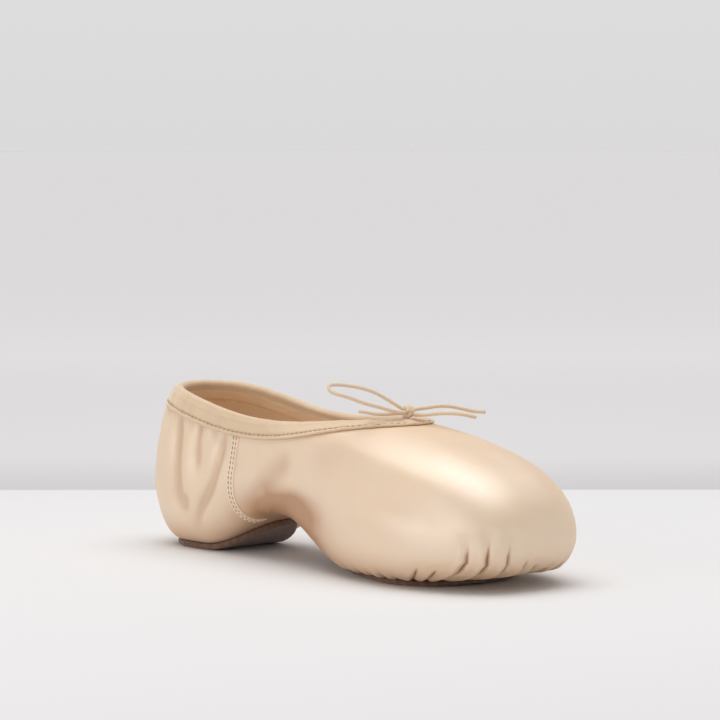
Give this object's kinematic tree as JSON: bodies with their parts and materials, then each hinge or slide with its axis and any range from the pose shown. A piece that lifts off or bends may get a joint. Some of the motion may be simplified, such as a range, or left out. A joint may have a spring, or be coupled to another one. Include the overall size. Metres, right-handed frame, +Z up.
{
  "type": "pointe shoe",
  "caption": "Satin pointe shoe with a stiff square toe box, split leather sole, drawstring collar and small bow, standing empty and unbent.",
  "frame": {"origin": "on the floor that the shoe stands on, under the middle of its length and width, the bow left out", "axes": "+X to the toe, +Z up, +Y to the shoe's left side; the shoe stands on its heel pad and forefoot sole"},
  "size_m": [0.216, 0.078, 0.0751],
  "materials": {
    "satin": "warm peach satin with a soft sheen, over a stiffened toe box",
    "binding": "matte cotton twill tape, stitched",
    "leather": "brown napped suede",
    "canvas": "plain cotton lining",
    "cord": "round covered elastic cord"
  },
  "bodies": {
    "root": {"upper": "satin", "collar_binding": "binding", "side_seam_left": "satin", "side_seam_right": "satin", "heel_pad": "leather", "forefoot_sole": "leather", "insole": "canvas", "bow_knot": "cord", "bow_loop_left_side": "cord", "bow_loop_right_side": "cord", "bow_end_left_side": "cord", "bow_end_right_side": "cord"}
  },
  "joints": []
}
